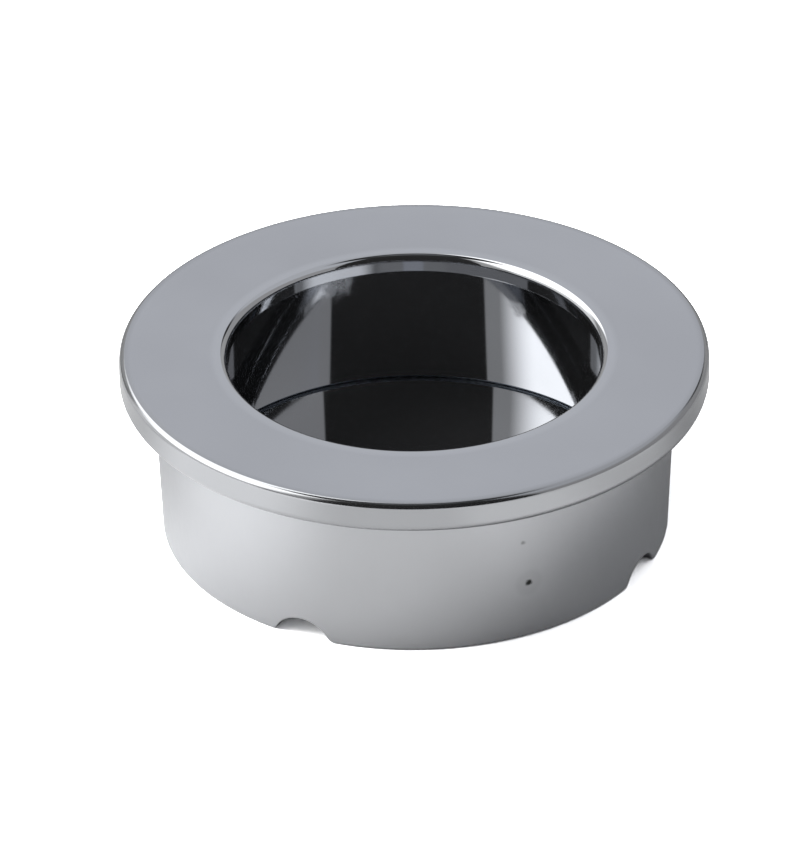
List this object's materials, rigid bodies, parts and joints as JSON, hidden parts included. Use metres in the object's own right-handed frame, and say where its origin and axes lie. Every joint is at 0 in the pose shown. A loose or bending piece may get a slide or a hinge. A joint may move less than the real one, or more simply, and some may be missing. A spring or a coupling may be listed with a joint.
{
  "type": "recessed pull handle",
  "caption": "Round flush pull with a flat ring flange, a deep cup with an inward lip to hook fingers behind, and a tapered press-in skirt.",
  "frame": {"origin": "on the axis of the cup, at the level of the skirt's foot", "axes": "+Z along the axis of the cup, out of its mouth; the four notches lie on the X and Y axes"},
  "size_m": [0.04, 0.04, 0.0132],
  "materials": {
    "shell_chrome": "polished chrome plate on the flange, lip and cup, satin as-plated skirt",
    "disc_chrome": "mirror-polished chrome plate"
  },
  "bodies": {
    "root": {"shell": "shell_chrome", "base_disc": "disc_chrome"}
  },
  "joints": []
}
